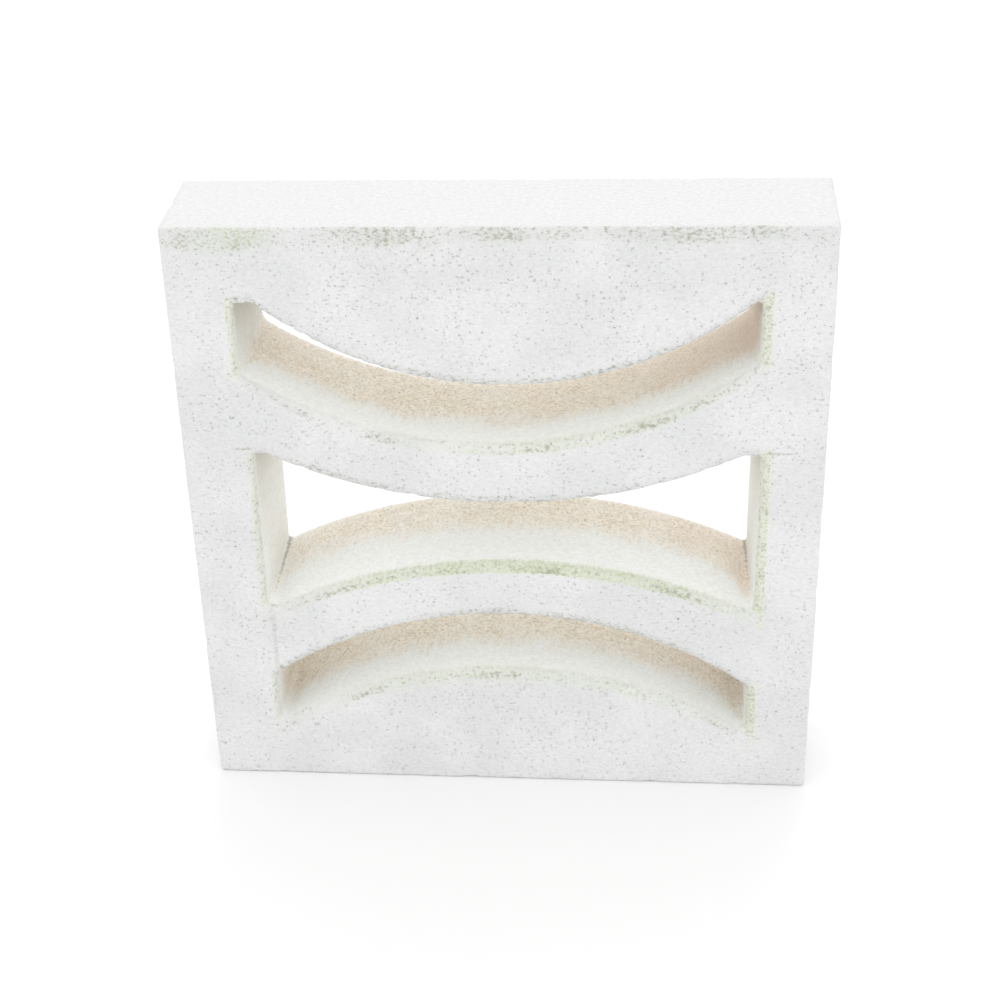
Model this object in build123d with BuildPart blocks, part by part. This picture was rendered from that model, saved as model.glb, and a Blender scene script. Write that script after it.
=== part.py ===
from build123d import *
from math import cos, pi, sin
import os

os.makedirs("parts", exist_ok=True)

# A square cast concrete screen block. It stands on its lower edge, with the
# origin in the middle of the underside, the decorated face towards -Y and
# +Z up. Heights are measured from the underside.
width = 400.0
height = 400.0
depth = 80.0
arris = 2.0

# The rounded rim where each opening meets the decorated face: how far it spreads
# at the floor, the ceiling and the two side walls, and how deep it reaches.
rim_floor = 6.5
rim_ceiling = 5.0
rim_left = 3.5
rim_right = 5.5
rim_depth = 6.0
rim_steps = 4

# The mould draft behind the rim: how much further in the ceiling and the side
# walls stand at the back face. Each floor has its own.
draft_ceiling = 3.0
draft_side = 2.5

# The corners tighten from the decorated face inwards. These are their radii at
# the inner end of the rim and at the back, as shares of those on the face.
rim_corner_share = 0.5
back_corner_share = 0.25

# Upper opening, bowed downwards. The crown is the lowest point of an arc. Its
# ceiling runs level for a short way at both walls.
upper_left = -163.0
upper_right = 163.0
upper_ceiling_crown = 301.0
upper_ceiling_radius = 236.0
upper_ceiling_middle = 3.0
upper_level_left = 16.0
upper_level_right = 12.0
upper_floor_crown = 250.5
upper_floor_radius = 271.0
upper_floor_middle = -7.0
upper_floor_draft = 4.0
upper_ceiling_corner = 3.0
upper_floor_corner = 12.0

# Middle opening, narrow in the middle and flared to both ends, its ceiling level
# at both walls too.
middle_left = -158.5
middle_right = 166.0
middle_ceiling_crown = 219.0
middle_ceiling_radius = 341.0
middle_ceiling_middle = 0.0
middle_level_left = 11.0
middle_level_right = 15.5
middle_floor_crown = 165.5
middle_floor_radius = 348.0
middle_floor_middle = 5.5
middle_floor_draft = 7.5
middle_ceiling_corner = 3.5
middle_floor_corner = 9.0

# Lower opening, bowed upwards. The crown is the highest point of an arc.
lower_left = -157.0
lower_right = 164.0
lower_ceiling_crown = 136.0
lower_ceiling_radius = 262.0
lower_ceiling_middle = 1.5
lower_floor_crown = 83.5
lower_floor_radius = 281.0
lower_floor_middle = 2.5
lower_floor_draft = 6.0
lower_ceiling_corner = 9.0
lower_floor_corner = 7.0

# Which way an arc bends away from its crown.
dip = 1.0
hump = -1.0


def arc_height(x, middle, crown, radius, bow):
    """Height at x of a circular arc with its crown at the given middle and height."""
    return crown + bow * (radius - (radius ** 2 - (x - middle) ** 2) ** 0.5)


def outline(plane, sides, ceiling, floor, level, corners, inset, corner_share):
    """The outline of one opening on a plane, its four sides moved inwards by the inset."""
    in_floor, in_ceiling, in_left, in_right = inset
    x0 = sides[0] + in_left
    x1 = sides[1] - in_right
    middle, crown, radius, bow = ceiling
    top = (middle, crown - in_ceiling, radius, bow)
    middle, crown, radius, bow = floor
    low = (middle, crown + in_floor, radius, bow)
    arc_left = sides[0] + level[0] if level else x0
    arc_right = sides[1] - level[1] if level else x1
    top_left = (x0, arc_height(arc_left, *top))
    top_right = (x1, arc_height(arc_right, *top))
    low_left = (x0, arc_height(x0, *low))
    low_right = (x1, arc_height(x1, *low))
    with BuildSketch(plane) as drawn:
        with BuildLine():
            Line(top_left, low_left)
            ThreePointArc(low_left, (low[0], low[1]), low_right)
            Line(low_right, top_right)
            if level:
                Line(top_right, (arc_right, top_right[1]))
                Line((arc_left, top_left[1]), top_left)
            ThreePointArc((arc_right, top_right[1]), (top[0], top[1]), (arc_left, top_left[1]))
        make_face()
        for point, corner in (
            (top_left, corners[0]),
            (top_right, corners[0]),
            (low_left, corners[1]),
            (low_right, corners[1]),
        ):
            fillet(drawn.vertices().sort_by_distance((point[0], point[1], 0))[0], corner * corner_share)
    return drawn.sketch


def rim_section(shape, turn):
    """The opening's outline on its rim, a quarter ellipse that turns from the face into the opening."""
    inset = [spread * sin(turn) for spread in (rim_floor, rim_ceiling, rim_left, rim_right)]
    plane = Plane.XZ.offset(depth / 2 - rim_depth * (1 - cos(turn)))
    return outline(plane, *shape, inset, 1 - (1 - rim_corner_share) * sin(turn))


def back_section(shape, floor_draft):
    """The opening's outline on the back face."""
    inset = (
        rim_floor + floor_draft,
        rim_ceiling + draft_ceiling,
        rim_left + draft_side,
        rim_right + draft_side,
    )
    return outline(Plane.XZ.offset(-depth / 2), *shape, inset, back_corner_share)


upper = (
    (upper_left, upper_right),
    (upper_ceiling_middle, upper_ceiling_crown, upper_ceiling_radius, dip),
    (upper_floor_middle, upper_floor_crown, upper_floor_radius, dip),
    (upper_level_left, upper_level_right),
    (upper_ceiling_corner, upper_floor_corner),
)
middle = (
    (middle_left, middle_right),
    (middle_ceiling_middle, middle_ceiling_crown, middle_ceiling_radius, dip),
    (middle_floor_middle, middle_floor_crown, middle_floor_radius, hump),
    (middle_level_left, middle_level_right),
    (middle_ceiling_corner, middle_floor_corner),
)
lower = (
    (lower_left, lower_right),
    (lower_ceiling_middle, lower_ceiling_crown, lower_ceiling_radius, hump),
    (lower_floor_middle, lower_floor_crown, lower_floor_radius, hump),
    None,
    (lower_ceiling_corner, lower_floor_corner),
)

with BuildPart() as screen_block:
    with BuildSketch(Plane.XY):
        Rectangle(width, depth)
    extrude(amount=height)
    fillet(screen_block.edges(), arris)
    for shape, floor_draft in ((upper, upper_floor_draft), (middle, middle_floor_draft), (lower, lower_floor_draft)):
        rim = [rim_section(shape, pi / 2 * step / rim_steps) for step in range(rim_steps + 1)]
        loft(sections=rim, ruled=True, mode=Mode.SUBTRACT)
        loft(sections=[rim[-1], back_section(shape, floor_draft)], ruled=True, mode=Mode.SUBTRACT)

screen_block.part.label = "screen_block"
export_step(screen_block.part, "parts/screen_block.step")
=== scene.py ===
"""A weathered cast concrete screen block with three arced openings, on a pale studio floor."""

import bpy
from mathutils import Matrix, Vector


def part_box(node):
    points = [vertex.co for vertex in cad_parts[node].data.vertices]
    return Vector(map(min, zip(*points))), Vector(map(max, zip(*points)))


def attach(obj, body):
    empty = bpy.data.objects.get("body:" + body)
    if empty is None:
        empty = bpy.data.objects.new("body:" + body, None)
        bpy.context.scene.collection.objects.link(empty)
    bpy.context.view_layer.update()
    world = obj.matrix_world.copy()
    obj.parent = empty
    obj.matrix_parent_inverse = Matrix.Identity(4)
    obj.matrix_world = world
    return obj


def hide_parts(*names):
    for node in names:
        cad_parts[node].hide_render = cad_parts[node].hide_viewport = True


bl_info = {
    "name": "Weathered Screen Block",
    "version": (1, 0, 0),
    "blender": (4, 5, 0),
    "location": "3D View > Sidebar > Screen Block",
    "description": "Casts a weathered concrete screen block and sets up a plain studio round it",
    "category": "Object",
}

from functools import partialmethod
from itertools import product
from math import cos, hypot, pi, radians, sin, sqrt
from typing import NamedTuple

import bpy
import numpy as np
from bpy.props import FloatProperty, FloatVectorProperty, IntProperty, PointerProperty

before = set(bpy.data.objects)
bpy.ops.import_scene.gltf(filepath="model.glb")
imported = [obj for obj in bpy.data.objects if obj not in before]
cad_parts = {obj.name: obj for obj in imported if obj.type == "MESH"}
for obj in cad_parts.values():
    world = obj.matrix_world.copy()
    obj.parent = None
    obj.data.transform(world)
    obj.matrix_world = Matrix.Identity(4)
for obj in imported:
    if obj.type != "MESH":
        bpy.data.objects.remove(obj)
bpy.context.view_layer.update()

NODE = "screen_block"
MM = 0.001

# The ways an arc can bend from its crown, and the sides of an opening that its material lies on.
DIP, HUMP = 1.0, -1.0
CEILING, FLOOR = 1.0, -1.0
LEFT, RIGHT = 1.0, -1.0

# Steps in half a corner, in a floor's or ceiling's arc, in a rim and in an outer edge, and the fewest rows
# of a band of the face.
HALF_CORNER_STEPS = 12
ARC_STEPS = 240
RIM_ROWS = 6
ARRIS_ROWS = 3
LEAST_ROWS = 8


# Properties


def length(name, description, default):
    """A length in metres that the user may change."""
    return FloatProperty(name=name, description=description, default=default, unit="LENGTH")


def lengths(name, description, default):
    """Several lengths in metres that belong together."""
    return FloatVectorProperty(
        name=name, description=description, default=default, size=len(default), unit="LENGTH", precision=4
    )


def shares(name, description, default):
    """Several lengths given as shares of another."""
    return FloatVectorProperty(
        name=name, description=description, default=default, size=len(default), min=0.05, max=1.0
    )


def amount(name, description, default, unit="NONE"):
    """A strength, power or number that isn't negative."""
    return FloatProperty(name=name, description=description, default=default, min=0.0, unit=unit)


def divisions_of(name, description, default, least):
    """How many parts a length is divided into."""
    return IntProperty(name=name, description=description, default=default, min=least)


def colour(name, description, default):
    """A linear colour."""
    return FloatVectorProperty(
        name=name, description=description, default=(*default, 1.0), size=4, min=0.0, max=1.0, subtype="COLOR"
    )


def opening_sizes(walls, ceiling, level, floor, draft, corners, inner_corners):
    """The properties of one opening, with its own sizes as defaults. They hold where the opening meets the
    decorated face."""
    return {
        "walls": lengths("Walls", "Left and right wall", walls),
        "ceiling": lengths("Ceiling", "Middle, crown height and radius of the upper arc", ceiling),
        "level": lengths("Level ends", "Level run of the ceiling at the left and right wall", level),
        "floor": lengths("Floor", "Middle, crown height and radius of the lower arc", floor),
        "draft": length("Floor draft", "How much higher the floor stands at the back", draft),
        "corners": lengths("Corners", "Radius of the upper and of the lower corners", corners),
        "inner_corners": shares(
            "Inner corners", "Corner radii behind the rim and at the back", inner_corners
        ),
    }


class UpperOpening(bpy.types.PropertyGroup):
    """The upper opening, bowed downwards."""

    __annotations__ = opening_sizes(
        walls=(-0.163, 0.163), ceiling=(0.003, 0.301, 0.236), level=(0.016, 0.006),
        floor=(-0.007, 0.2505, 0.271), draft=0.004, corners=(0.003, 0.012), inner_corners=(1.0, 0.8),
    )


class MiddleOpening(bpy.types.PropertyGroup):
    """The middle opening, narrow at its waist."""

    __annotations__ = opening_sizes(
        walls=(-0.1585, 0.166), ceiling=(0.0, 0.219, 0.341), level=(0.011, 0.0155),
        floor=(0.0055, 0.1655, 0.348), draft=0.0075, corners=(0.0035, 0.009), inner_corners=(0.5, 0.2),
    )


class LowerOpening(bpy.types.PropertyGroup):
    """The lower opening, bowed upwards."""

    __annotations__ = opening_sizes(
        walls=(-0.157, 0.164), ceiling=(0.0015, 0.136, 0.262), level=(0.0, 0.0),
        floor=(0.0025, 0.0835, 0.281), draft=0.006, corners=(0.009, 0.007), inner_corners=(0.5, 0.25),
    )


class CastForm(bpy.types.PropertyGroup):
    """Sizes that the three openings share, and how finely the skin is divided."""

    upper: PointerProperty(type=UpperOpening)
    middle: PointerProperty(type=MiddleOpening)
    lower: PointerProperty(type=LowerOpening)
    arris: length("Arris", "Radius of the block's outer edges", 0.002)
    rim: lengths("Rim", "Spread at floor, ceiling, left and right wall", (0.0065, 0.005, 0.0035, 0.0055))
    rim_depth: length("Rim depth", "How deep the rounded rim reaches", 0.006)
    draft: lengths("Draft", "Slope of the ceiling and of the side walls", (0.003, 0.0025))
    back_rim: length("Back rim", "Size of the small break where an opening meets the back", 0.0006)
    columns: divisions_of("Columns", "Divisions across the openings", 126, 8)
    stile_columns: divisions_of("Stile columns", "Divisions across each stile", 16, 2)
    wall_rows: divisions_of("Wall rows", "Divisions along an opening's depth", 20, 4)
    side_rows: divisions_of("Side rows", "Divisions along the outer sides' depth", 20, 4)


class CastRelief(bpy.types.PropertyGroup):
    """How uneven the cast surface is. All relief goes inwards from the true sizes."""

    wave: length("Wave", "Depth of the broad unevenness of every face", 0.0003)
    rim_wear: length("Rim wear", "Depth of the crumbled spots along the rims", 0.0013)
    arris_wear: length("Arris wear", "Depth of the worn spots along the outer edges", 0.0012)
    pores_front: amount("Front pores", "Open pores in a square metre of the decorated face", 5000.0)
    pores_back: amount("Back pores", "Open pores in a square metre of the back", 2500.0)
    pore_radius: length("Pore radius", "Usual radius of an open pore", 0.0005)
    seed: IntProperty(name="Seed", description="Start of the random draws", default=7, min=0)


class ConcreteLook(bpy.types.PropertyGroup):
    """Colours of the concrete and of what has settled on it."""

    cement: colour("Cement", "Cement face", (0.722, 0.73, 0.725))
    laitance: colour("Laitance", "Pale smooth cement skin", (0.775, 0.78, 0.775))
    # The pale sheltered skin inside the openings, partly painted light that lifts the shaded recesses to the
    # face's brightness.
    clean: colour("Clean", "Sheltered concrete in the openings", (0.905, 0.915, 0.89))
    # Painted shade inside the open pores and in the small hollows.
    pore: colour("Pore", "Inside of the open pores", (0.42, 0.42, 0.40))
    tan: colour("Tan", "Dust and damp stain deep in the openings", (0.92, 0.86, 0.765))
    rust: colour("Rust", "Darker grains in the tan stain", (0.72, 0.61, 0.475))
    # Painted shade: a grey-brown darkening of the walls under the ceilings' ends. The same colour also tints
    # blotches in the tan stain.
    shade: colour("Shade", "Grey-brown dust under the ceilings' ends", (0.51, 0.47, 0.385))
    brown: colour("Brown", "Darkest stain at the openings' ends", (0.80, 0.665, 0.565))
    algae: colour("Algae", "Yellow-green growth on the rims", (0.58, 0.63, 0.44))
    film: colour("Film", "Cream-green film round the growth on the rims", (0.78, 0.80, 0.66))
    # Dark grey-green colour of the grime in cracks and creases, and of the painted shade along the ceilings
    # next to the walls.
    soil_and_shade: colour("Soil", "Dark grey-green dirt in cracks and creases", (0.34, 0.34, 0.27))


class StudioLook(bpy.types.PropertyGroup):
    """The floor, the lights and the camera."""

    floor: colour("Floor", "Pale floor", (0.94, 0.94, 0.94))
    sky: amount("Sky", "Strength of the even light from all round", 1.02)
    key: amount("Key", "Power of the soft light above", 4.0, "POWER")
    fill: amount("Fill", "Power of the soft light in front", 3.0, "POWER")
    back: amount("Back", "Power of the soft light behind", 9.0, "POWER")
    eye: lengths("Eye", "Where the camera stands", (0.0938, -1.1625, 0.8481))
    aim: FloatVectorProperty(
        name="Aim", description="The camera's turn about X, Y and Z",
        size=3, subtype="EULER", unit="ROTATION",
        default=(radians(58.057), radians(2.572), radians(6.011)),
    )
    lens: amount("Lens", "Focal length on a 36 mm sensor, in mm", 73.82)
    shift: FloatVectorProperty(name="Shift", description="Lens shift", size=2, default=(0.0835, 0.1))


# Outlines


def moved_arc(arc, bow, part, inset):
    """Middle, centre height and radius of an arc moved into the opening by the inset. The centre stands one
    radius above or below the crown."""
    middle, crown, radius = arc
    return middle, crown - part * inset + bow * radius, radius


def arc_height(arc, bow, x):
    """Height of an arc at x: its centre plus or minus the root of radius squared less distance squared."""
    middle, centre, radius = arc
    return centre - bow * np.sqrt(np.maximum(radius ** 2 - (np.asarray(x) - middle) ** 2, 0.0))


def fillet_arc(arc, bow, part, wall, hand, radius):
    """Centre, wall angle and arc angle of the fillet that touches a wall and an arc. Its centre lies one
    fillet radius from the wall, and from the arc's centre the arc's radius plus or minus the fillet's."""
    middle, centre, arc_radius = arc
    x = wall + hand * radius
    reach = arc_radius + bow * part * radius
    z = centre - bow * sqrt(reach ** 2 - (x - middle) ** 2)
    wall_angle = pi * part if hand == LEFT else 0.0
    away = 1 - arc_radius / reach
    arc_angle = np.arctan2((centre - z) * away, (middle - x) * away)
    return (x, z), wall_angle, float(arc_angle)


def fillet_level(height, part, wall, hand, radius):
    """The same for a fillet that touches a wall and a level line."""
    return (wall + hand * radius, height - part * radius), pi * part if hand == LEFT else 0.0, part * pi / 2


def bow_points(centre, radius, start, end, steps):
    """Points on a circle between two angles: centre plus radius times cosine and sine."""
    angle = np.linspace(start, end, steps + 1)
    return np.stack([centre[0] + radius * np.cos(angle), centre[1] + radius * np.sin(angle)], axis=1)


def evenly(points, count):
    """The same line with count equal steps, read off by its running length."""
    run = np.concatenate([[0.0], np.cumsum(np.hypot(*np.diff(points, axis=0).T))])
    at = np.linspace(0.0, run[-1], count + 1)
    return np.stack([np.interp(at, run, points[:, 0]), np.interp(at, run, points[:, 1])], axis=1)


def opening_sides(opening, inset, corner_share, columns, rows):
    """Floor, right wall, ceiling and left wall of an opening, each from mid corner to mid corner. The floor
    and ceiling run left to right and the walls run upwards. A wall is a straight line, a floor or ceiling an
    arc that may run level near the walls, and each has half a fillet at either end."""
    shape, bows = opening
    in_floor, in_ceiling, in_left, in_right = inset
    walls = {LEFT: shape.walls[0] + in_left, RIGHT: shape.walls[1] - in_right}
    halves = {}
    sides = {}
    for part, bow, given, move, corner, name in (
        (CEILING, bows[0], shape.ceiling, in_ceiling, shape.corners[0], "ceiling"),
        (FLOOR, bows[1], shape.floor, in_floor, shape.corners[1], "floor"),
    ):
        arc = moved_arc(given, bow, part, move)
        radius = corner * corner_share
        ends = []
        for hand, level, inwards in ((LEFT, shape.level[0], in_left), (RIGHT, shape.level[1], in_right)):
            if part == CEILING and level > 0:
                end = walls[hand] + hand * max(level - inwards, radius)
                height = float(arc_height(arc, bow, end))
                centre, wall_angle, arc_angle = fillet_level(height, part, walls[hand], hand, radius)
                ends.append(np.arctan2(height - arc[1], end - arc[0]))
            else:
                centre, wall_angle, arc_angle = fillet_arc(arc, bow, part, walls[hand], hand, radius)
                touch = bow_points(centre, radius, arc_angle, arc_angle, 1)[0]
                ends.append(np.arctan2(touch[1] - arc[1], touch[0] - arc[0]))
            middle = (wall_angle + arc_angle) / 2
            halves[part, hand, "wall"] = bow_points(centre, radius, wall_angle, middle, HALF_CORNER_STEPS)
            halves[part, hand, "arc"] = bow_points(centre, radius, middle, arc_angle, HALF_CORNER_STEPS)
        span = bow_points(arc[:2], arc[2], ends[0], ends[1], ARC_STEPS)
        line = np.concatenate([halves[part, LEFT, "arc"], span, halves[part, RIGHT, "arc"][::-1]])
        sides[name] = evenly(line, columns)
    for hand, name in ((LEFT, "left"), (RIGHT, "right")):
        line = np.concatenate([halves[FLOOR, hand, "wall"][::-1], halves[CEILING, hand, "wall"]])
        sides[name] = evenly(line, rows)
    return sides


def ring(sides):
    """The four sides joined into one closed outline that runs anticlockwise, its last point left off."""
    return np.concatenate([
        sides["floor"][:-1], sides["right"][:-1], sides["ceiling"][::-1][:-1], sides["left"][::-1][:-1]
    ])


def straight(start, end, count):
    """Points at equal steps on a straight line."""
    return np.linspace(start, end, count + 1)


# Grids


def between(bottom, top, left, right):
    """A grid that fills the space inside four lines: the blend of bottom and top, plus the blend of left and
    right, less the blend of the four corners."""
    u = np.linspace(0.0, 1.0, len(bottom))[:, None, None]
    v = np.linspace(0.0, 1.0, len(left))[None, :, None]
    across = (1 - v) * bottom[:, None] + v * top[:, None]
    upward = (1 - u) * left[None] + u * right[None]
    corners = (1 - u) * ((1 - v) * bottom[0] + v * top[0]) + u * ((1 - v) * bottom[-1] + v * top[-1])
    return across + upward - corners


def face_grids(openings, edge, columns, stile_columns, rows):
    """The face round the openings as grids of points in its plane: seven in each stile and four between.
    The rows follow the openings' floors and ceilings, and straight lines join their corners."""
    half, low, high = edge
    levels = [straight((openings[0]["floor"][0][0], low), (openings[0]["floor"][-1][0], low), columns)]
    for sides in openings:
        levels += [sides["floor"], sides["ceiling"]]
    top = levels[-1]
    levels.append(straight((top[0][0], high), (top[-1][0], high), columns))
    grids = []
    for row, (below, above) in enumerate(zip(levels, levels[1:])):
        if row % 2:
            left, right = openings[row // 2]["left"], openings[row // 2]["right"]
        else:
            left = straight(below[0], above[0], rows[row])
            right = straight(below[-1], above[-1], rows[row])
            grids.append(between(below, above, left, right))
        for inner, out in ((left, -half), (right, half)):
            outer = straight((out, inner[0][1]), (out, inner[-1][1]), rows[row])
            ends = [straight(outer[k], inner[k], stile_columns) for k in (0, -1)]
            if out < 0:
                grids.append(between(ends[0], ends[1], outer, inner))
            else:
                grids.append(between(ends[0][::-1], ends[1][::-1], inner, outer))
    return grids


def quads_of(count_u, count_v, closed=False):
    """Corner numbers of every cell of a grid whose points are numbered row by row."""
    i = np.arange(count_u if closed else count_u - 1)[:, None]
    j = np.arange(count_v - 1)[None, :]
    k = (i + 1) % count_u
    cells = [i * count_v + j, k * count_v + j, k * count_v + j + 1, i * count_v + j + 1]
    return np.stack([np.broadcast_to(c, (len(i), count_v - 1)) for c in cells], axis=-1)


def in_plane(points, y):
    """Points of the XZ plane set at a depth."""
    flat = points.reshape(-1, 2)
    return np.stack([flat[:, 0], np.full(len(flat), y), flat[:, 1]], axis=1)


def swept(rings, turned=False):
    """One part of the surface from rings of points, one behind the other: its points, its quads, which may be
    turned to face the other way, no triangles, and no point in a pit and no face sharp."""
    wall = np.stack(rings, axis=1)
    quads = quads_of(*wall.shape[:2], closed=True).reshape(-1, 4)
    points = wall.reshape(-1, 3)
    quads = quads[:, ::-1] if turned else quads
    return points, quads, np.zeros((0, 3), int), np.zeros(len(points)), np.zeros(len(quads), bool)


def merged(parts):
    """All parts as one surface that keeps each shared point once. Each part's corners are numbered from its
    own first point, and points that agree to a ten-thousandth of a millimetre are the same point."""
    starts = np.cumsum([0] + [len(part[0]) for part in parts[:-1]])
    points, pits, sharp = (np.concatenate([part[k] for part in parts]) for k in (0, 3, 4))
    quads, fans = (np.concatenate([part[k] + start for part, start in zip(parts, starts)]) for k in (1, 2))
    place = np.round(points / (1e-4 * MM)).astype(np.int64)
    unused, first, number = np.unique(place, axis=0, return_index=True, return_inverse=True)
    number = number.reshape(-1)
    return points[first], number[quads], number[fans], pits[first], sharp


# Pores

# The eight neighbours of a grid point, anticlockwise from the lower left.
AROUND = np.array([(-1, -1), (0, -1), (1, -1), (1, 0), (1, 1), (0, 1), (-1, 1), (-1, 0)])
# A pore's points: its mouth, its floor and its bottom, and how dark each of them is, a painted shade that
# deepens towards the bottom.
PORE_MOUTH, PORE_FLOOR, PORE_BOTTOM = slice(0, 8), slice(8, 16), 16
PORE_POINTS = 17
PORE_TONE = np.repeat([0.0, 0.6, 1.0], [8, 8, 1])
# How much the sizes differ, how much of its cells a pore may fill and drift through, its width and height as
# shares of its radius, and how unround its mouth is.
PORE_SPREAD = 0.35
PORE_LARGEST = 0.5
PORE_ROOM = 0.86
PORE_WIDE = 1.2
PORE_TALL = 0.85
PORE_WOBBLE = (0.75, 1.15)
# Its floor's size as a share of its mouth's, its depth as a share of its radius, and its floor's depth as a
# share of its bottom's.
PORE_NARROWING = 0.7
PORE_DEPTH = (0.35, 0.8)
PORE_FLOOR_DEPTH = 0.8
# How far and over what distance the rows of the face grids wander, so that the pores don't line up, and
# over how many rows the wandering dies away at a grid's edge.
WANDER = 0.0011
WANDER_SIZE = 0.006
WANDER_ROWS = 3.0


def wandered(grid, seed):
    """The grid with its inner points shifted by smooth noise along X and Z, and less towards its edge."""
    count_u, count_v = grid.shape[:2]
    i, j = np.meshgrid(np.arange(count_u), np.arange(count_v), indexing="ij")
    edge = np.minimum(np.minimum(i, count_u - 1 - i), np.minimum(j, count_v - 1 - j))
    reach = WANDER * np.clip(edge / WANDER_ROWS, 0.0, 1.0)
    place = in_plane(grid, 0.0)
    shift = [smooth_noise(place, WANDER_SIZE, seed + k).reshape(edge.shape) for k in (0, 5)]
    return grid + reach[..., None] * np.stack(shift, axis=-1)


def strip(outer, inner):
    """The faces between rings of corner numbers, one ring to a row."""
    turned = [np.roll(ring, -1, axis=1) for ring in (outer, inner)]
    return np.stack([outer, *turned, inner], axis=-1).reshape(-1, 4)


def pored(grid, y, inward, density, radius, rng):
    """A face grid with open pores let into it. A pore takes the place of four cells round a grid point: eight
    points on a wobbly ellipse at the surface, eight on a smaller one below it and one at the bottom. The
    chance of a pore is the density times the area of its four cells."""
    count_u, count_v = grid.shape[:2]
    quads = quads_of(count_u, count_v)
    i, j = np.meshgrid(np.arange(1, count_u - 1, 2), np.arange(1, count_v - 1, 2), indexing="ij")
    across = grid[i + 1, j] - grid[i - 1, j]
    upward = grid[i, j + 1] - grid[i, j - 1]
    area = np.abs(across[..., 0] * upward[..., 1] - across[..., 1] * upward[..., 0])
    chosen = rng.random(i.shape) < density * area
    i, j = i[chosen], j[chosen]
    keep = np.ones(quads.shape[:2], bool)
    for di, dj in product((-1, 0), repeat=2):
        keep[i + di, j + dj] = False
    centre = grid[i, j]
    room = np.min([np.hypot(*(grid[i + a, j + b] - centre).T) for a, b in AROUND[1::2]], axis=0)
    size = np.minimum(radius * np.exp(rng.normal(0.0, PORE_SPREAD, len(i))), PORE_LARGEST * room)
    drift = np.maximum(room * PORE_ROOM - size * PORE_WIDE, 0.0) / sqrt(2.0)
    centre = centre + drift[:, None] * rng.uniform(-1.0, 1.0, (len(i), 2))
    angle = np.arctan2(AROUND[:, 1], AROUND[:, 0])
    reach = size[:, None] * rng.uniform(*PORE_WOBBLE, (len(i), 8))
    oval = np.stack([PORE_WIDE * np.cos(angle), PORE_TALL * np.sin(angle)], axis=1)
    mouth = centre[:, None] + reach[..., None] * oval
    depth = size * rng.uniform(*PORE_DEPTH, len(i))
    floor = centre[:, None] + (mouth - centre[:, None]) * PORE_NARROWING
    base = count_u * count_v
    number = base + np.arange(len(i))[:, None] * PORE_POINTS + np.arange(PORE_POINTS)
    mouth_id, floor_id = number[:, PORE_MOUTH], number[:, PORE_FLOOR]
    deep_id = np.repeat(number[:, PORE_BOTTOM, None], 8, axis=1)
    rim_id = (i[:, None] + AROUND[:, 0]) * count_v + j[:, None] + AROUND[:, 1]
    skirt, wall = strip(rim_id, mouth_id), strip(mouth_id, floor_id)
    fan = np.stack([floor_id, np.roll(floor_id, -1, axis=1), deep_id], axis=-1).reshape(-1, 3)
    extra = np.zeros((len(i), PORE_POINTS, 3))
    extra[:, PORE_MOUTH, ::2] = mouth
    extra[:, PORE_FLOOR, ::2] = floor
    extra[:, PORE_BOTTOM, ::2] = centre
    extra[..., 1] = y
    extra[:, PORE_FLOOR, 1] += inward * depth[:, None] * PORE_FLOOR_DEPTH
    extra[:, PORE_BOTTOM, 1] += inward * depth
    points = np.concatenate([in_plane(grid, y), extra.reshape(-1, 3)])
    pits = np.concatenate([np.zeros(base), np.tile(PORE_TONE, len(i))])
    faces = np.concatenate([quads[keep], skirt, wall])
    sharp = np.concatenate([np.zeros(int(keep.sum()) + len(skirt), bool), np.ones(len(wall), bool)])
    return points, faces, fan, pits, sharp


# Noise and blends


def lattice(ix, iy, iz, seed):
    """A number from -1 to 1 for each whole-number place, by multiplying and folding its bits."""
    mask = 0xFFFFFFFF
    bits = (ix * 374761393 + iy * 668265263 + iz * 1442695041 + seed * 2654435761) & mask
    bits = ((bits ^ (bits >> 13)) * 1274126177) & mask
    bits = ((bits ^ (bits >> 16)) * 2246822519) & mask
    bits = bits ^ (bits >> 15)
    return bits / (mask / 2) - 1.0


def smooth_noise(points, size, seed):
    """Random values at lattice places one size apart, blended along X, Y and Z by 3t² - 2t³."""
    at = points / size
    cell = np.floor(at).astype(np.int64)
    t = at - cell
    t = t * t * (3 - 2 * t)
    total = 0.0
    for corner in product((0, 1), repeat=3):
        weight = np.prod(np.where(corner, t, 1 - t), axis=1)
        total = total + weight * lattice(*(cell + corner).T, seed)
    return total


def layered_noise(points, size, seed, layers=3):
    """Smooth noise with finer layers added, each half as wide and half as strong as the last."""
    total = 0.0
    for layer in range(layers):
        total = total + smooth_noise(points, size / 2 ** layer, seed + layer) / 2 ** layer
    return total


def ease(low, high, value):
    """0 below low, 1 above high and 3t² - 2t³ between."""
    t = np.clip((value - low) / (high - low), 0.0, 1.0)
    return t * t * (3 - 2 * t)


def bell(value, middle, width):
    """1 at the middle, falling off as exp(-t²)."""
    return np.exp(-(((value - middle) / width) ** 2))


# The skin


def rim_profile(form, shape, depth):
    """Insets, corner shares and depths along an opening from the decorated face to the back: a quarter
    ellipse for the rim, a straight drafted wall and a small break at the back."""
    spread = np.array(form.rim)
    behind, last_corner = shape.inner_corners
    deep = spread + [shape.draft, form.draft[0], form.draft[1], form.draft[1]]
    steps = []
    for turn in np.linspace(0.0, pi / 2, RIM_ROWS + 1):
        corner = 1 - (1 - behind) * sin(turn)
        steps.append((*(spread * sin(turn)), corner, form.rim_depth * (1 - cos(turn))))
    last = depth - form.back_rim
    for t in np.arange(1, form.wall_rows + 1) / form.wall_rows:
        corner = behind + (last_corner - behind) * t
        steps.append((*(spread + (deep - spread) * t), corner, form.rim_depth + (last - form.rim_depth) * t))
    steps.append((*(deep - form.back_rim), last_corner, depth))
    steps = np.array(steps)
    return steps[:, :4], steps[:, 4], steps[:, 5]


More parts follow.
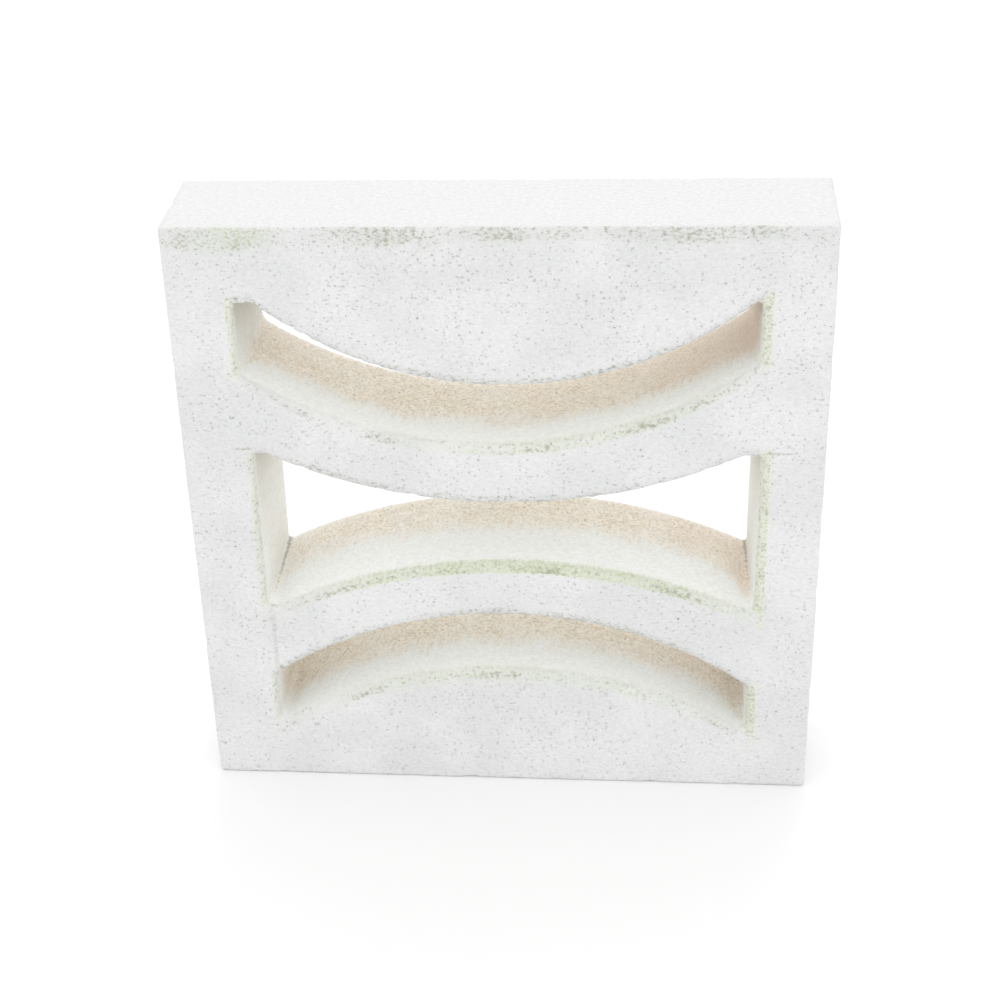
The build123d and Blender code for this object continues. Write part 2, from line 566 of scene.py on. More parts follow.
def edge_profile(arris, depth, rows):
    """Insets and depths along the outer side: a quarter circle, a straight run and a quarter circle."""
    turn = np.linspace(0.0, pi / 2, ARRIS_ROWS + 1)
    inset, y = arris * (1 - np.sin(turn)), arris * (1 - np.cos(turn))
    run = np.linspace(arris, depth - arris, rows + 1)[1:-1]
    insets = np.concatenate([inset, np.zeros(len(run)), inset[::-1]])
    return insets, np.concatenate([y, run, depth - y[::-1]])


def outer_ring(face_edge, half, height, arris, inset):
    """The block's outer outline at an inset. The face's own edge points are spread to the new size, and
    those past a corner's centre are drawn onto its quarter circle."""
    size = np.array([half, height / 2])
    centred = (face_edge - [0.0, height / 2]) * (size - inset) / (size - arris)
    radius = arris - inset
    past = np.abs(centred) - (size - inset - radius)
    corner = (past > 0).all(axis=1)
    reach = np.hypot(*past[corner].T)
    pulled = np.where(reach > 0, radius / np.maximum(reach, 1e-12), 1.0)[:, None] * past[corner]
    centred[corner] = np.sign(centred[corner]) * ((size - inset - radius) + pulled)
    return centred + [0.0, height / 2]


def through(marks, counts):
    """Places from the first mark to the last, with a count of equal steps from each mark to the next."""
    parts = [np.linspace(a, b, n + 1)[:-1] for a, b, n in zip(marks, marks[1:], counts)]
    return np.concatenate([*parts, marks[-1:]])


def edge_loop(openings, edge, columns, stile_columns, rows):
    """The face's outer edge as one anticlockwise loop from its lower left corner, its points across from the
    corners, columns and rows of the openings."""
    half, low, high = edge
    lines = {}
    for name, line, z in (("floor", openings[0]["floor"], low), ("ceiling", openings[-1]["ceiling"], high)):
        x = through([-half, line[0][0], line[-1][0], half], (stile_columns, columns, stile_columns))
        lines[name] = np.stack([x, np.full(len(x), z)], axis=1)
    for name, k, x in (("left", 0, -half), ("right", -1, half)):
        marks = [sides[part][k][1] for sides in openings for part in ("floor", "ceiling")]
        z = through([low, *marks, high], rows)
        lines[name] = np.stack([np.full(len(z), x), z], axis=1)
    return ring(lines)


def divisions(openings, low, high, step):
    """How many rows each band of the face gets, an even number of about one step's height at the left end."""
    marks = [low, *(sides[part][0][1] for sides in openings for part in ("floor", "ceiling")), high]
    return [max(LEAST_ROWS, 2 * round(height / step / 2)) for height in np.diff(marks)]


def cast_openings(form):
    """The three openings, lowest first, each with the way that its ceiling and its floor bend."""
    return [(form.lower, (HUMP, HUMP)), (form.middle, (DIP, HUMP)), (form.upper, (DIP, DIP))]


def cast_surface(form, relief, low, high):
    """The whole block as one closed surface: front and back faces, three openings and the outer sides."""
    half, height, depth = high[0], high[2], high[1] - low[1]
    arris = form.arris
    columns = form.columns
    openings = cast_openings(form)
    outlines = [opening_sides(opening, (0.0,) * 4, 1.0, columns, LEAST_ROWS) for opening in openings]
    step = (form.middle.walls[1] - form.middle.walls[0]) / columns
    rows = divisions(outlines, arris, height - arris, step)
    parts = []
    rings = []
    for k, opening in enumerate(openings):
        insets, corner_shares, depths = rim_profile(form, opening[0], depth)
        layers = [
            opening_sides(opening, inset, share, columns, rows[2 * k + 1])
            for inset, share in zip(insets, corner_shares)
        ]
        rings.append(layers)
        parts.append(swept([in_plane(ring(sides), low[1] + y) for sides, y in zip(layers, depths)]))
    rng = np.random.default_rng(relief.seed)
    edge = (half - arris, arris, height - arris)
    loops = []
    for layer, y, inward, wanted in (
        (0, low[1], 1.0, relief.pores_front), (-1, high[1], -1.0, relief.pores_back)
    ):
        sides = [layers[layer] for layers in rings]
        for grid in face_grids(sides, edge, columns, form.stile_columns, rows):
            grid = wandered(grid, relief.seed)
            points, quads, fan, pits, sharp = pored(grid, y, inward, wanted, relief.pore_radius, rng)
            if inward < 0:
                quads, fan = quads[:, ::-1], fan[:, ::-1]
            parts.append((points, quads, fan, pits, sharp))
        loops.append(edge_loop(sides, edge, columns, form.stile_columns, rows))
    inset, y = edge_profile(arris, depth, form.side_rows)
    blend = ((y - y[0]) / depth)[:, None, None]
    mixed = (1 - blend) * loops[0] + blend * loops[1]
    parts.append(swept([
        in_plane(outer_ring(mixed[k], half, height, arris, inset[k]), low[1] + y[k]) for k in range(len(y))
    ], turned=True))
    return merged(parts)


def point_normals(points, quads, triangles):
    """Each point's mean direction of the faces round it, weighted by their area: the cross product of each
    face's diagonals, or of two sides of a triangle."""
    total = np.zeros_like(points)
    for faces in (quads, triangles):
        a, b, c, last = (points[faces[:, k]] for k in (0, 1, 2, -1))
        cross = np.cross(c - a, last - b)
        for k in range(faces.shape[1]):
            np.add.at(total, faces[:, k], cross)
    return total / np.maximum(np.linalg.norm(total, axis=1, keepdims=True), 1e-12)


class Place(NamedTuple):
    """Where points lie in one opening: how far inwards from its floor, its ceiling, its left and its right
    wall, the least of these, how far from the decorated face, and how surely within it and on its rim."""

    floor: np.ndarray
    ceiling: np.ndarray
    left: np.ndarray
    right: np.ndarray
    inside: np.ndarray
    face: np.ndarray
    within: np.ndarray
    rim: np.ndarray


def place_in(opening, points, form, low, depth):
    """The points' place in an opening, by the outline that it has at each point's depth."""
    shape, bows = opening
    insets, unused, depths = rim_profile(form, shape, depth)
    x, y, z = points[:, 0], points[:, 1] - low[1], points[:, 2]
    moved = [np.interp(y, depths, insets[:, k]) for k in range(4)]
    ceiling_x = np.clip(x, shape.walls[0] + shape.level[0], shape.walls[1] - shape.level[1])
    floor = arc_height(moved_arc(shape.floor, bows[1], FLOOR, 0.0), bows[1], x) + moved[0]
    ceiling = arc_height(moved_arc(shape.ceiling, bows[0], CEILING, 0.0), bows[0], ceiling_x) - moved[1]
    gaps = (z - floor, ceiling - z, x - shape.walls[0] - moved[2], shape.walls[1] - moved[3] - x)
    inside = np.min(gaps, axis=0)
    rim = ease(0.0085, 0.003, y) * ease(-0.0028, 0.0006, inside)
    return Place(*gaps, inside, y, ease(-0.0012, -0.0002, inside), rim)


# Width in metres and seed of the waves, the crumbled spots and the chips, and the noise that leaves the
# concrete whole.
WAVE_SIZE, WAVE_SEED = 0.045, 11
CRUMBLE_SIZE, CRUMBLE_SEED, CRUMBLE_LEVEL = 0.005, 23, 0.1
CHIP_SIZE, CHIP_SEED, CHIP_LEVEL = 0.011, 37, 0.2
# Where the wear of the rims sets in, by the distance into an opening and from the decorated face, and where
# that of the outer edges does, by the distance from them.
RIM_WIDTH, RIM_DEPTH = (-0.003, -0.0005), (0.011, 0.004)
EDGE_WIDTH = (0.006, 0.001)


def worn(points, normals, pits, places, relief, low, high):
    """Points moved inwards: broad waves everywhere, crumbled spots on the rims and on the outer edges. The
    flat faces and their pores move straight back."""
    wave = relief.wave * (0.5 + 0.5 * np.clip(layered_noise(points, WAVE_SIZE, WAVE_SEED), -1.0, 1.0))
    face = points[:, 1] - low[1]
    nearest = np.max([at.inside for at in places], axis=0)
    rim = ease(*RIM_WIDTH, nearest) * ease(*RIM_DEPTH, face)
    crumble = np.clip(layered_noise(points, CRUMBLE_SIZE, CRUMBLE_SEED) - CRUMBLE_LEVEL, 0.0, 1.0)
    near = np.sort(np.minimum(points - low, high - points), axis=1)
    outer = ease(*EDGE_WIDTH, near[:, 1])
    chip = np.clip(layered_noise(points, CHIP_SIZE, CHIP_SEED) - CHIP_LEVEL, 0.0, 1.0)
    depth = wave + relief.rim_wear * rim * crumble + relief.arris_wear * outer * chip
    from_face = np.minimum(face, high[1] - points[:, 1])
    level = (pits > 0) | ((from_face < MM * MM) & (nearest < -0.4 * MM) & (near[:, 1] > 0.001))
    straight_back = np.stack([0 * face, np.sign(points[:, 1]), 0 * face], axis=1)
    moved = points - np.where(level[:, None], straight_back, normals) * depth[:, None]
    return np.clip(moved, low, high)


# Stains


class OpeningLook(NamedTuple):
    """How one opening is stained and shaded: how brown its left and right end are; how far from the face its
    left wall, its floor and its right wall turn tan; where along X the algae on its floor rim lie and how
    wide and strong they are; how green the rims of its left and right wall are; how cracked these walls are
    where they meet the floor; how much the tan fades towards the left end, on the left and on the right wall;
    and how strong the painted shade is on the walls under the ceiling."""

    brown: tuple
    tan_starts: tuple
    growth: tuple
    green: tuple
    cracks: tuple
    fading: tuple
    painted_shade: float


# The looks of the openings, lowest first.
OPENING_LOOKS = (
    OpeningLook(
        brown=(0.05, 0.25), tan_starts=(0.014, 0.033, 0.014), growth=(0.01, 0.125, 0.42),
        green=(0.3, 0.6), cracks=(0.3, 0.7), fading=(0.0, 0.0, 0.4), painted_shade=0.1,
    ),
    OpeningLook(
        brown=(0.0, 0.55), tan_starts=(0.003, 0.042, 0.012), growth=(0.012, 0.122, 0.74),
        green=(0.4, 0.75), cracks=(1.0, 0.8), fading=(0.35, 0.3, 0.7), painted_shade=0.75,
    ),
    OpeningLook(
        brown=(0.25, 0.85), tan_starts=(0.012, 0.030, 0.016), growth=(0.045, 0.110, 0.43),
        green=(0.5, 0.7), cracks=(0.0, 0.0), fading=(0.0, 0.55, 0.2), painted_shade=1.0,
    ),
)
# Lengths in metres. Over what depth the tan sets in and how far its start drifts; how far the left and the
# right wall's tan and brown spread over the floor; how far the left end's fading reaches; how near a wall
# counts as on it; how far the painted shade spreads from a wall and hangs down from a ceiling.
TAN_RAMP, TAN_DRIFT = 0.032, 0.004
WALL_TAN = (0.006, 0.010)
WALL_BROWN = (0.03, 0.05)
END_FADE = 0.045
ON_WALL = 0.0015
SHADE_REACH = (0.004, 0.030)
# How wide the growth on the floor's and the walls' rims and the dark lines along the floor's ends are.
FLOOR_GROWTH = 0.0025
WALL_GROWTH = (0.0020, 0.0024)
CRACK = 0.0025
# How deep the stained band under the block's top edge is at the left and the right, and how soft it ends.
TOP_BAND = (0.015, 0.009)
TOP_BAND_EDGE = 0.003


def dying(distance, reach):
    """1 up to a surface and exp(-distance / reach) past it."""
    return np.exp(-np.maximum(distance, 0) / reach)


def tan_stain(at, look, drift):
    """Dust that sets in deep in the opening, sooner on the walls, and leaves the ceiling's edge and the back
    edge paler."""
    left_start, floor_start, right_start = look.tan_starts
    near_left, near_right = dying(at.left, WALL_TAN[0]), dying(at.right, WALL_TAN[1])
    start = floor_start + (left_start - floor_start) * near_left + (right_start - floor_start) * near_right
    fade_end, fade_left, fade_right = look.fading
    deep = at.within * np.clip((at.face + TAN_DRIFT * drift - start) / TAN_RAMP + 0.5, 0.0, 1.0)
    deep = deep * (1 - fade_end * dying(at.left, END_FADE)) * (1 - 0.25 * near_left)
    deep = deep * (1 - fade_left * dying(at.left, ON_WALL)) * (1 - fade_right * dying(at.right, ON_WALL))
    deep = deep * (1 - 0.75 * bell(at.ceiling, 0.0, 0.0015) * ease(0.0, 0.004, at.left))
    return deep * (1 - 0.35 * ease(0.073, 0.079, at.face))


def brown_stain(at, look, deep, drift):
    """The darker stain at both ends, where the tan is full."""
    ends = look.brown[0] * dying(at.left, WALL_BROWN[0]) + look.brown[1] * dying(at.right, WALL_BROWN[1])
    return ease(0.3, 0.9, deep) * np.clip(ends + 0.08 * drift, 0.0, 1.0)


def rim_growth(at, look, x, patchy):
    """Algae and their paler film on the rims, and how much of them grows along the floor's rim: full near
    the middle of the growth and a quarter at the ends, in patches."""
    middle, width, green = look.growth
    along = 0.26 + 0.74 * np.exp(-((x - middle) / width) ** 4) * np.clip(0.85 + 0.3 * patchy, 0.4, 1.15)
    floor = green * bell(at.floor, 0.0, FLOOR_GROWTH) * at.rim * along
    left, right = (look.green[k] * bell(at[k + 2], 0.0, WALL_GROWTH[k]) for k in (0, 1))
    walls = np.maximum(left, right)
    algae = np.maximum(floor, 0.8 * walls * at.rim * (0.75 + 0.4 * patchy))
    film = np.maximum(np.clip(1.15 * walls, 0.0, 1.0) * at.rim, 0.7 * floor)
    return algae, film, along * green * at.rim


def opening_dirt_and_shade(at, look, growth, patchy):
    """Dirt and painted shade along the edges: an outline round the floor's rim, specks under and over the
    ceiling's edge, the cracks where walls meet the floor, a dark line of grime and painted shade along the
    ceiling next to the walls, specks on the walls' rims and mottles in the growth on the floor's rim."""
    sides = np.minimum(at.left, at.right)
    outline = bell(at.floor, -0.0004, 0.0012) * ease(0.003, 0.0005, at.face) * ease(-0.006, -0.002, sides)
    outline = outline * np.clip(0.45 + 0.3 * patchy, 0.25, 0.7)
    over = bell(at.ceiling, 0.0, 0.0015) * bell(at.face, 0.0018, 0.0018) * ease(-0.002, 0.0, sides)
    lip = bell(at.ceiling, -0.0004, 0.0026) * ease(0.0035, 0.001, at.face) * ease(-0.004, 0.001, sides)
    lip = lip * np.clip(0.9 + 0.3 * patchy, 0.5, 1.1)
    left, right = (look.cracks[k] * bell(at[k + 2], 0.0, CRACK) for k in (0, 1))
    crack = np.maximum(left, right) * bell(at.floor, 0.0, CRACK) * ease(0.002, 0.007, at.face) * at.within
    # A dark line along the ceiling next to the walls: partly grime, partly painted shade.
    eaves_dirt_and_shade = dying(sides, SHADE_REACH[0]) * bell(at.ceiling, 0.0, 0.002) * at.within
    eaves_dirt_and_shade = eaves_dirt_and_shade * ease(0.001, 0.004, at.face)
    specks = np.maximum(bell(at.right, 0.0, 0.002), bell(at.left, -0.0004, 0.0016)) * at.rim
    mottle = growth * bell(at.floor, -0.0005, 0.003)
    return np.max([
        outline, 0.6 * over, 0.55 * lip, np.minimum(1.7 * crack, 1.0), eaves_dirt_and_shade, 0.5 * specks, 0.56 * mottle
    ], axis=0)


# The strengths that the mesh holds for each point. The last four are those of the pale sheltered skin inside
# the openings, partly painted light that lifts the shaded recesses; the painted shade under the ceilings'
# ends;
# the smooth skin along the outer edges; and the dark in a pore, a painted shade.
STRENGTHS = ("tan", "brown", "algae", "film", "soil_and_shade", "clean", "shade", "fair", "pit")


def stains(points, pits, places, low, high):
    """The strengths at each point, by its place in the openings and on the face."""
    x, y, z = points.T
    face = y - low[1]
    tan, brown, algae, film, soil_and_shade, clean, shade = np.zeros((7, len(points)))
    drift = layered_noise(points, 0.02, 51)
    patchy = layered_noise(points, 0.03, 77)
    for at, look in zip(places, OPENING_LOOKS):
        deep = tan_stain(at, look, drift)
        tan = np.maximum(tan, deep)
        brown = np.maximum(brown, brown_stain(at, look, deep, drift))
        # Painted shade on the walls near the ceilings' ends, fading down from the ceiling and out from the
        # walls.
        painted_shade = dying(np.minimum(at.left, at.right), SHADE_REACH[0]) * dying(at.ceiling, SHADE_REACH[1])
        shade = np.maximum(shade, look.painted_shade * at.within * painted_shade * ease(0.002, 0.010, face))
        grown, pale, growth = rim_growth(at, look, x, patchy)
        algae, film = np.maximum(algae, grown), np.maximum(film, pale)
        soil_and_shade = np.maximum(soil_and_shade, opening_dirt_and_shade(at, look, growth, patchy))
        # Paler inside the openings: partly sheltered skin, partly painted light against the shade of the
        # recess.
        clean = np.maximum(clean, at.within * ease(0.002, 0.006, face))
    reach = np.interp(x, (low[0], high[0]), TOP_BAND)
    band = ease(reach + TOP_BAND_EDGE, reach - TOP_BAND_EDGE, high[2] - z + 0.003 * drift)
    band = band * ease(0.003, 0.0005, face)
    patch = np.clip(0.32 + 0.45 * patchy, 0.0, 1.0) + 0.55 * bell(x, -0.150, 0.030)
    algae = np.maximum(algae, band * np.clip(patch, 0.0, 1.0) * 0.5)
    soil_and_shade = np.maximum(soil_and_shade, band * np.clip(0.44 + 0.25 * patchy, 0.25, 0.65))
    edge = ease(0.0035, 0.0, x - low[0]) * bell(z, 0.215, 0.05) * ease(0.006, 0.001, face)
    algae = np.maximum(algae, 0.4 * edge)
    outer = np.minimum(np.minimum(x - low[0], high[0] - x), np.minimum(z - low[2], high[2] - z))
    values = (tan, brown, algae, film, soil_and_shade, clean, shade, ease(0.0012, 0.0004, outer), pits)
    return {name: np.clip(value, 0.0, 1.0) for name, value in zip(STRENGTHS, values)}


# The mesh


def make_mesh(name, points, quads, triangles, sharp, attributes):
    """A mesh object at the origin from whole arrays, smooth but for the faces marked sharp."""
    mesh = bpy.data.meshes.new(name)
    corners = np.concatenate([quads.reshape(-1), triangles.reshape(-1)]).astype(np.int32)
    starts = np.concatenate([
        np.arange(len(quads)) * 4, len(quads) * 4 + np.arange(len(triangles)) * 3
    ]).astype(np.int32)
    mesh.vertices.add(len(points))
    mesh.vertices.foreach_set("co", points.astype(np.float32).reshape(-1))
    mesh.loops.add(len(corners))
    mesh.loops.foreach_set("vertex_index", corners)
    mesh.polygons.add(len(starts))
    mesh.polygons.foreach_set("loop_start", starts)
    mesh.update(calc_edges=True)
    flat = mesh.attributes.new("sharp_face", "BOOLEAN", "FACE")
    flat.data.foreach_set("value", np.concatenate([sharp, np.ones(len(triangles), bool)]))
    for label, values in attributes.items():
        layer = mesh.attributes.new(label, "FLOAT", "POINT")
        layer.data.foreach_set("value", values.astype(np.float32))
    mesh.validate()
    piece = bpy.data.objects.new(name, mesh)
    bpy.context.scene.collection.objects.link(piece)
    return piece


# Materials


class Nodes:
    """A material's node tree with short ways to add what the finishes need."""

    def __init__(self, name):
        self.material = bpy.data.materials.new(name)
        self.material.use_nodes = True
        self.tree = self.material.node_tree
        self.shader = self.tree.nodes["Principled BSDF"]
        self.place = self.tree.nodes.new("ShaderNodeTexCoord").outputs["Object"]

    def put(self, socket, value):
        """Links an output to a socket, or sets a plain value on it."""
        if isinstance(value, bpy.types.NodeSocket):
            self.tree.links.new(value, socket)
        else:
            socket.default_value = value

    def add(self, kind, inputs=(), **settings):
        """The outputs of a new node. Its inputs are given by name or number."""
        node = self.tree.nodes.new("ShaderNode" + kind)
        for name, value in settings.items():
            setattr(node, name, value)
        for key, value in dict(inputs).items():
            self.put(node.inputs[key], value)
        return node.outputs

    def math(self, operation, *values):
        """One step of arithmetic on sockets or plain numbers."""
        return self.add("Math", enumerate(values), operation=operation)[0]

    times = partialmethod(math, "MULTIPLY")
    plus = partialmethod(math, "ADD")
    minus = partialmethod(math, "SUBTRACT")
    higher = partialmethod(math, "MAXIMUM")

    def swing(self, pattern, amount):
        """A pattern's departure from its middle times an amount."""
        return self.times(self.minus(pattern, 0.5), amount)

    def attribute(self, name):
        """A strength that the mesh holds for each point."""
        return self.add("Attribute", attribute_name=name)["Fac"]

    def noise(self, size, detail=2.0, roughness=0.5, stretch=None):
        """Noise from 0 to 1 whose features are about the given size in metres, on the object's coordinates
        or on those times a stretch for each axis."""
        place = self.place
        if stretch is not None:
            place = self.add("Mapping", {"Vector": place, "Scale": stretch})[0]
        inputs = {"Vector": place, "Scale": 1.0 / size, "Detail": detail, "Roughness": roughness}
        return self.add("TexNoise", inputs)["Fac"]

    def span(self, value, low, high, out_low=0.0, out_high=1.0):
        """The value eased from low to high onto the two output limits."""
        inputs = enumerate((value, low, high, out_low, out_high))
        return self.add("MapRange", inputs, interpolation_type="SMOOTHSTEP")[0]

    def blend(self, amount, first, second):
        """The first colour where the amount is 0 and the second where it is 1."""
        return self.add("Mix", {0: amount, 6: first, 7: second}, data_type="RGBA")[2]

    def coated(self, tone, *coats):
        """The tone under its coats, each given by its amount and colour."""
        for amount, coat in coats:
            tone = self.blend(amount, tone, coat)
        return tone

    def darkened(self, tone, amount):
        """A colour multiplied by a grey amount."""
        colour = tone if isinstance(tone, bpy.types.NodeSocket) else tone[:3]
        return self.add("VectorMath", {0: colour, "Scale": amount}, operation="SCALE")[0]

    def frayed(self, strength, pattern, low, high, least, most):
        """A strength with a ragged edge: the sum of strength and pattern eased from low to high, and nothing
        where the strength itself is under the least."""
        ragged = self.span(self.plus(strength, pattern), low, high)
        return self.times(ragged, self.span(strength, least, most))

    def stroke(self, x, z, half_x, half_z, strength):
        """A ragged mark on the decorated face: 1 inside a box about x and z, fading out past its edges."""
        along = self.add("SeparateXYZ", {0: self.place})
        wobble = self.swing(self.noise(0.004), 0.0025)
        reach = self.higher(*(
            self.math("DIVIDE", self.math("ABSOLUTE", self.plus(self.minus(place, middle), wobble)), half)
            for place, middle, half in ((along[0], x, half_x), (along[2], z, half_z))
        ))
        front = self.span(along[1], *MARKS_DEPTH)
        ragged = self.span(self.noise(0.002), 0.35, 0.6, 0.3, 1.0)
        inside = self.times(self.span(reach, 1.5, 0.5, 0.0, strength), front)
        return self.times(inside, ragged)

    def bump(self, height, distance, below=None):
        """A bump of the given height in metres on top of the one below."""
        inputs = {"Height": height, "Distance": distance}
        if below is not None:
            inputs["Normal"] = below
        return self.add("Bump", inputs)[0]


# Middle along X and Z, half width, half height and strength of each single mark on the decorated face: the
# creases that run on from the middle opening's ceiling, a seam in the left stile, a nick under the upper
# opening and a dark spot near the foot.
MARKS = (
    (-0.1610, 0.2525, 0.0050, 0.0006, 0.8),
    (0.1725, 0.2525, 0.0075, 0.0006, 0.8),
    (-0.1522, 0.1085, 0.0015, 0.0245, 0.3),
    (0.0912, 0.2710, 0.0052, 0.0012, 0.9),
    (-0.1290, 0.0420, 0.0012, 0.0011, 0.9),
)
# Between these places along Y the marks set in.
MARKS_DEPTH = (-0.034, -0.037)
# Feature size in metres, detail, roughness and stretch of the concrete's patterns.
PATTERNS = {
    "cloud": (0.05, 3.0),
    "crowd": (0.018, 2.0),
    "grain": (0.0011, 1.0),
    "sand": (0.0021, 2.0, 0.6, (0.75, 1.0, 1.15)),
    "blotch": (0.0021, 1.0, 0.5, (0.92, 1.0, 1.12)),
    "dash": (0.0017, 1.0, 0.5, (0.38, 1.0, 1.35)),
    "streak": (0.0018, 1.0, 0.5, (1.0, 0.10, 1.0)),
    "rusty": (0.0019, 3.0, 0.65),
    "patch": (0.006, 2.0),
}


def concrete_material(look):
    """Pale cement with grain, small hollows and dashes, stained tan and brown in the openings and green on
    the rims. Dirt darkens the cracks and creases. Painted shade darkens the walls under the ceilings' ends,
    the ceiling's edge next to the walls, the insides of the pores and in part the dark specks. Painted light
    in part lifts the sheltered insides of the openings."""
    n = Nodes("weathered_concrete")
    patterns = [n.noise(*pattern) for pattern in PATTERNS.values()]
    cloud, crowd, grain, sand, blotch, dash, streak, rusty, patch = patterns
    tan, brown, algae, film, soil_and_shade, clean, shade, fair, pit = map(n.attribute, STRENGTHS)
    rough = n.times(n.minus(1.0, n.times(fair, 0.75)), n.minus(1.0, n.times(clean, 0.7)))
    edge = n.span(crowd, 0.3, 0.7, 0.675, 0.615)
    hollow = n.span(blotch, edge, n.plus(edge, 0.1))
    # Dark specks in the small hollows and dashes: partly grain, partly painted shade.
    speck = n.times(n.higher(hollow, n.times(n.span(dash, 0.64, 0.74), 0.22)), rough)
    tone = n.coated(
        look.cement,
        (n.span(cloud, 0.35, 0.65), look.laitance),
        (fair, look.laitance),
        # Partly painted light: the pale skin inside the openings.
        (n.times(clean, 0.9), look.clean),
    )
    tone = n.darkened(tone, n.span(sand, 0.3, 0.7, 0.945, 1.03))
    tone = n.darkened(tone, n.span(grain, 0.3, 0.7, 0.975, 1.02))
    stain = n.blend(n.span(rusty, 0.33, 0.62), look.rust, look.tan)
    stain = n.darkened(stain, n.span(patch, 0.3, 0.7, 0.95, 1.03))
    stain = n.blend(n.times(n.span(blotch, 0.6, 0.68), 0.55), stain, look.shade)
    feather = n.plus(n.swing(streak, 0.8), n.swing(grain, 0.5))
    dusty = n.frayed(tan, feather, 0.12, 0.88, 0.0, 0.15)
    mixed = n.plus(n.times(sand, 0.5), n.times(streak, 0.5))
    grown = n.frayed(algae, n.swing(mixed, 1.7), 0.12, 0.95, 0.0, 0.12)
    dirt_and_shade = n.frayed(soil_and_shade, n.swing(sand, 1.5), 0.4, 0.9, 0.02, 0.2)
    for mark in MARKS:
        dirt_and_shade = n.higher(dirt_and_shade, n.stroke(*mark))
    tone = n.coated(
        tone,
        (n.times(dusty, n.span(crowd, 0.3, 0.7, 0.75, 1.0)), stain),
        # Painted shade under the ceilings' ends.
        (n.times(shade, 0.85), look.shade),
        (n.times(brown, n.span(sand, 0.25, 0.7, 0.65, 0.95)), look.brown),
        (n.times(film, n.span(sand, 0.3, 0.65, 0.45, 1.0)), look.film),
        (grown, look.algae),
        # The grime colour over the cracks, creases and marks, and as painted shade along the ceiling next to
        # the walls.
        (n.times(dirt_and_shade, 0.75), look.soil_and_shade),
        # Dark specks, partly painted shade in the small hollows, and painted shade inside the pores.
        (n.times(speck, 0.42), look.pore),
        (n.times(pit, 0.5), look.pore),
    )
    n.put(n.shader.inputs["Base Color"], tone)
    n.put(n.shader.inputs["Roughness"], n.span(grain, 0.2, 0.8, 0.84, 0.97))
    n.shader.inputs["Specular IOR Level"].default_value = 0.25
    sunk = n.plus(speck, n.times(dirt_and_shade, 0.5))
    height = n.minus(n.times(sand, 0.5), sunk)
    n.put(n.shader.inputs["Normal"], n.bump(grain, 0.0001, n.bump(height, 0.00035)))
    return n.material


def floor_material(look):
    """A matt pale studio floor with a barely uneven tone."""
    n = Nodes("studio_floor")
    tone = n.darkened(look.floor, n.span(n.noise(0.4, 2.0), 0.3, 0.7, 0.99, 1.0))
    n.put(n.shader.inputs["Base Color"], tone)
    n.shader.inputs["Roughness"].default_value = 0.9
    n.shader.inputs["Specular IOR Level"].default_value = 0.1
    return n.material


# Operators


class SCREENBLOCK_OT_cast(bpy.types.Operator):
    """Cast the concrete block with its openings, relief and stains"""

    bl_idname = "screenblock.cast"
    bl_label = "Cast Block"

    def execute(self, context):
        form = context.scene.screenblock_form
        relief = context.scene.screenblock_relief
        low, high = (np.array(corner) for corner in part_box(NODE))
        points, quads, triangles, pits, sharp = cast_surface(form, relief, low, high)
        depth = high[1] - low[1]
        places = [place_in(opening, points, form, low, depth) for opening in cast_openings(form)]
        strengths = stains(points, pits, places, low, high)
        normals = point_normals(points, quads, triangles)
        points = worn(points, normals, pits, places, relief, low, high)
        piece = make_mesh("concrete_skin", points, quads, triangles, sharp, strengths)
        piece.data.materials.append(concrete_material(context.scene.screenblock_concrete))
        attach(piece, "root")
        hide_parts(NODE)
        return {"FINISHED"}


class SCREENBLOCK_OT_stage(bpy.types.Operator):
    """Lay the pale floor and set the soft lights and the camera"""

    bl_idname = "screenblock.stage"
    bl_label = "Set Stage"

    def execute(self, context):
        look = context.scene.screenblock_studio
        lay_floor(look)
        hang_lights(look)
        set_camera(context.scene, look)
        context.scene.view_settings.view_transform = "Standard"
        return {"FINISHED"}


# Half the floor's width and its points along each side.
FLOOR_HALF, FLOOR_POINTS = 4.0, 9


def lay_floor(look):
    """A wide flat floor under the block, a grid of points at height zero."""
    side = np.linspace(-FLOOR_HALF, FLOOR_HALF, FLOOR_POINTS)
    x, y = np.meshgrid(side, side, indexing="ij")
    points = np.stack([x.reshape(-1), y.reshape(-1), np.zeros(x.size)], axis=1)
    quads = quads_of(FLOOR_POINTS, FLOOR_POINTS).reshape(-1, 4)
    floor = make_mesh("studio_floor", points, quads, np.zeros((0, 3), int), np.zeros(len(quads), bool), {})
    floor.data.materials.append(floor_material(look))


# The point that the lights face.
LIGHTS_AIM = (0.0, 0.0, 0.2)


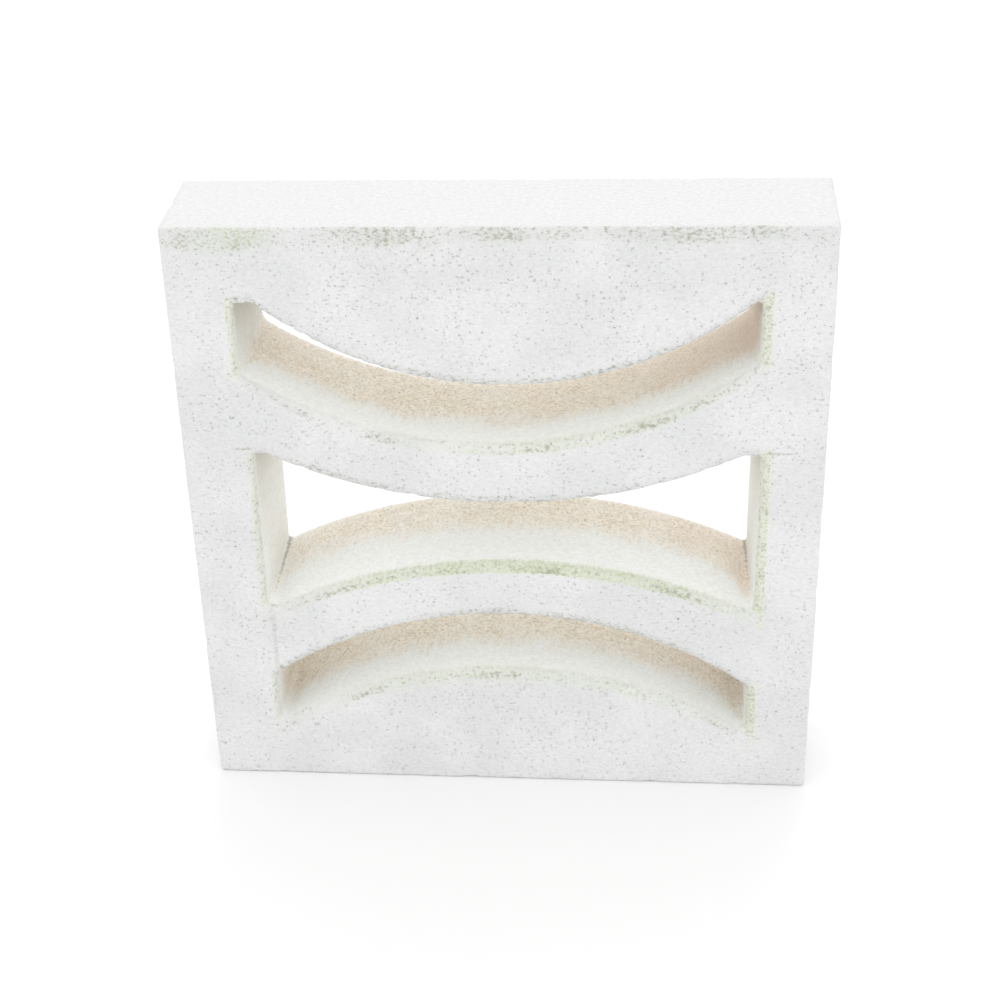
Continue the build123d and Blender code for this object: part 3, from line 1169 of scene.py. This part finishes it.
def hang_lights(look):
    """Even light from all round and wide square lights above, in front and behind, which face the block."""
    world = bpy.data.worlds.new("studio")
    world.use_nodes = True
    background = world.node_tree.nodes["Background"]
    background.inputs["Color"].default_value = (1.0, 1.0, 1.0, 1.0)
    background.inputs["Strength"].default_value = look.sky
    bpy.context.scene.world = world
    for name, power, size, place in (
        ("light_above", look.key, 1.6, (-0.3, -0.4, 2.2)),
        ("light_front", look.fill, 1.4, (0.3, -1.9, 1.0)),
        ("light_behind", look.back, 1.6, (0.1, 2.0, 1.1)),
    ):
        lamp = bpy.data.lights.new(name, "AREA")
        lamp.energy, lamp.size = power, size
        holder = bpy.data.objects.new(name, lamp)
        holder.location = place
        x, y, z = np.array(place) - LIGHTS_AIM
        holder.rotation_euler = (float(np.arctan2(hypot(x, y), z)), 0.0, float(np.arctan2(x, -y)))
        bpy.context.scene.collection.objects.link(holder)


def set_camera(scene, look):
    """The camera at the photograph's viewing angle."""
    lens = bpy.data.cameras.new("camera")
    lens.lens = look.lens
    lens.sensor_width = 36.0
    lens.shift_x, lens.shift_y = look.shift
    camera = bpy.data.objects.new("camera", lens)
    camera.location = look.eye
    camera.rotation_euler = look.aim
    scene.collection.objects.link(camera)
    scene.camera = camera


class SCREENBLOCK_PT_panel(bpy.types.Panel):
    """Lists the steps that make the block and its stage"""

    bl_label = "Screen Block"
    bl_idname = "SCREENBLOCK_PT_panel"
    bl_space_type = "VIEW_3D"
    bl_region_type = "UI"
    bl_category = "Screen Block"

    def draw(self, context):
        for step in (SCREENBLOCK_OT_cast, SCREENBLOCK_OT_stage):
            self.layout.operator(step.bl_idname)


CLASSES = (
    UpperOpening, MiddleOpening, LowerOpening, CastForm, CastRelief, ConcreteLook, StudioLook,
    SCREENBLOCK_OT_cast, SCREENBLOCK_OT_stage, SCREENBLOCK_PT_panel,
)
SETTINGS = {
    "screenblock_form": CastForm,
    "screenblock_relief": CastRelief,
    "screenblock_concrete": ConcreteLook,
    "screenblock_studio": StudioLook,
}


def register():
    """Makes the classes and the scene's settings known."""
    for kind in CLASSES:
        bpy.utils.register_class(kind)
    for name, kind in SETTINGS.items():
        setattr(bpy.types.Scene, name, PointerProperty(type=kind))


def unregister():
    """Takes the classes and settings away again."""
    for name in SETTINGS:
        delattr(bpy.types.Scene, name)
    for kind in reversed(CLASSES):
        bpy.utils.unregister_class(kind)


def main():
    """Registers everything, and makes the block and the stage."""
    register()
    bpy.ops.screenblock.cast()
    bpy.ops.screenblock.stage()


if __name__ == "__main__":
    main()
